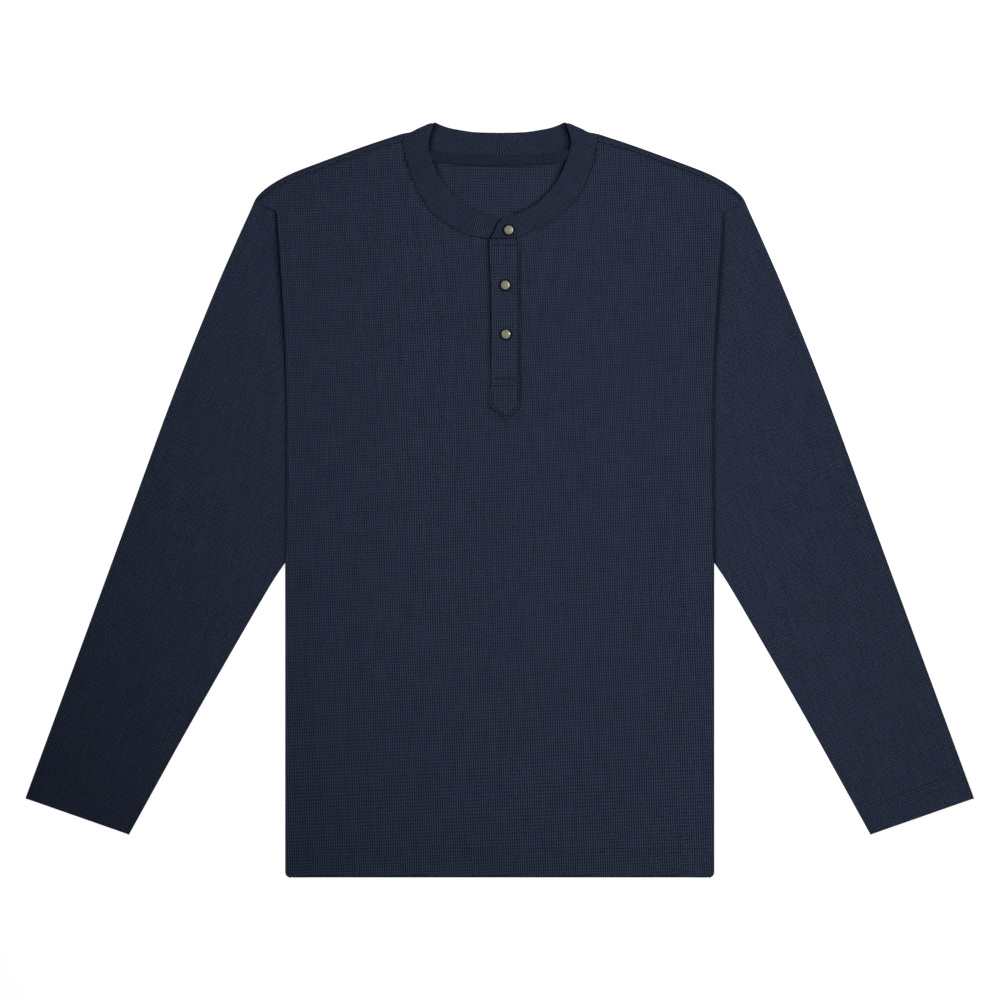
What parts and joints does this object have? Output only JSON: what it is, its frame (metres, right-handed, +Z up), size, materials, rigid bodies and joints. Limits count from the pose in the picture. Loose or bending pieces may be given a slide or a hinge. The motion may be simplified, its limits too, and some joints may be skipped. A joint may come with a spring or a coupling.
{
  "type": "long-sleeved thermal henley top, laid flat",
  "caption": "Long-sleeved thermal top in waffle knit with a rib band collar and a snap placket with a pointed tail, laid flat on its back with straight sleeves angled out.",
  "frame": {"origin": "middle of the underside: the centre of the whole garment's outline, on the surface that it lies on", "axes": "+X towards the wearer's left sleeve, +Y from the hem to the neck, +Z up, away from the surface"},
  "size_m": [0.9268, 0.7384, 0.0084],
  "materials": {
    "waffle_knit": "matt navy waffle knit, small square cells, soft and slightly fuzzy",
    "collar_rib": "matt navy 1x1 rib, ribs across the band",
    "neck_tape": "smooth matt navy jersey tape, topstitched",
    "snap": "pale olive-grey pearl cap in a dark gunmetal rim"
  },
  "bodies": {
    "root": {"back": "waffle_knit", "front": "waffle_knit", "sleeve_left": "waffle_knit", "sleeve_right": "waffle_knit", "collar": "collar_rib", "neck_tape": "neck_tape", "placket_under": "waffle_knit", "placket_upper": "waffle_knit", "snap_1": "snap", "snap_2": "snap", "snap_3": "snap"}
  },
  "joints": []
}
